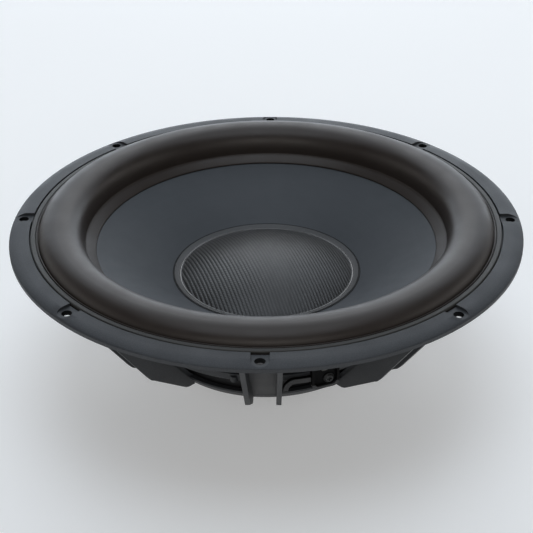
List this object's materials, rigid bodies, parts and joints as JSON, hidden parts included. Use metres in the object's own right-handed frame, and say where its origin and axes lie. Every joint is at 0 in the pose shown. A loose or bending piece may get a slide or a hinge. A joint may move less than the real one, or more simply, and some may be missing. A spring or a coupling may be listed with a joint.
{
  "type": "subwoofer speaker",
  "caption": "Shallow round car subwoofer: cast spoked basket, wide rubber roll surround, smooth dark cone, woven dust cap and a compact ring-magnet motor.",
  "frame": {"origin": "on the speaker axis, in the plane of the mounting flange's rear face", "axes": "+Z along the speaker axis towards the listener; -Y through one screw hole of the flange"},
  "size_m": [0.3094, 0.3094, 0.109],
  "materials": {
    "cast_black": "black powder coat over cast aluminium, fine grain",
    "surround_rubber": "moulded rubber, soft matte with a low sheen",
    "trim_rubber": "smooth moulded rubber",
    "cone_polymer": "smooth satin anthracite cone",
    "woven_fibre": "twill woven fibre set in resin, satin",
    "black_adhesive": "black adhesive, slightly glossy",
    "former_film": "amber polyimide and glass film",
    "copper_wire": "enamelled copper wire, close wound",
    "kraft_collar": "kraft paper collar",
    "solder_pads": "copper foil with solder",
    "spider_cloth": "corrugated resin-treated black woven cloth",
    "plated_steel": "black zinc-plated turned steel",
    "nickel_magnet": "nickel-plated sintered magnet",
    "bare_aluminium": "turned aluminium",
    "black_steel": "black e-coated turned steel",
    "cover_rubber": "moulded rubber band",
    "black_screws": "black oxide steel screws",
    "screen_steel": "black punched steel",
    "bracket_plastic": "dark grey glass-filled nylon",
    "dark_screw": "black-plated steel screw, worn to bright metal on its edges",
    "gold_blade": "gold-plated brass",
    "nickel_blade": "nickel-plated brass",
    "tinsel_braid": "braided tinsel over textile core"
  },
  "bodies": {
    "frame_and_motor": {"basket": "cast_black", "surround": "surround_rubber", "trim_ring": "trim_rubber", "spider": "spider_cloth", "top_plate": "plated_steel", "magnet_ring": "nickel_magnet", "shorting_ring": "bare_aluminium", "back_plate_and_pole": "black_steel", "motor_cover": "cover_rubber", "motor_screws": "black_screws", "vent_screen": "screen_steel", "terminal_bracket": "bracket_plastic", "terminal_screw": "dark_screw", "blade_terminal_positive": "gold_blade", "blade_terminal_negative": "nickel_blade", "tinsel_lead_positive": "tinsel_braid", "tinsel_lead_negative": "tinsel_braid"},
    "cone_assembly": {"cone": "cone_polymer", "dust_cap": "woven_fibre", "cap_adhesive": "black_adhesive", "coil_former": "former_film", "coil_winding": "copper_wire", "former_collar": "kraft_collar", "neck_adhesive": "black_adhesive", "coil_solder_pads": "solder_pads"}
  },
  "joints": [
    {"name": "cone_travel", "type": "slide", "parent": "frame_and_motor", "child": "cone_assembly", "axis": [0, 0, 1], "range_m": [-0.009, 0.009], "stiffness_N_per_m": 5000, "deforming": ["surround", "spider", "tinsel_lead_positive", "tinsel_lead_negative"]}
  ]
}
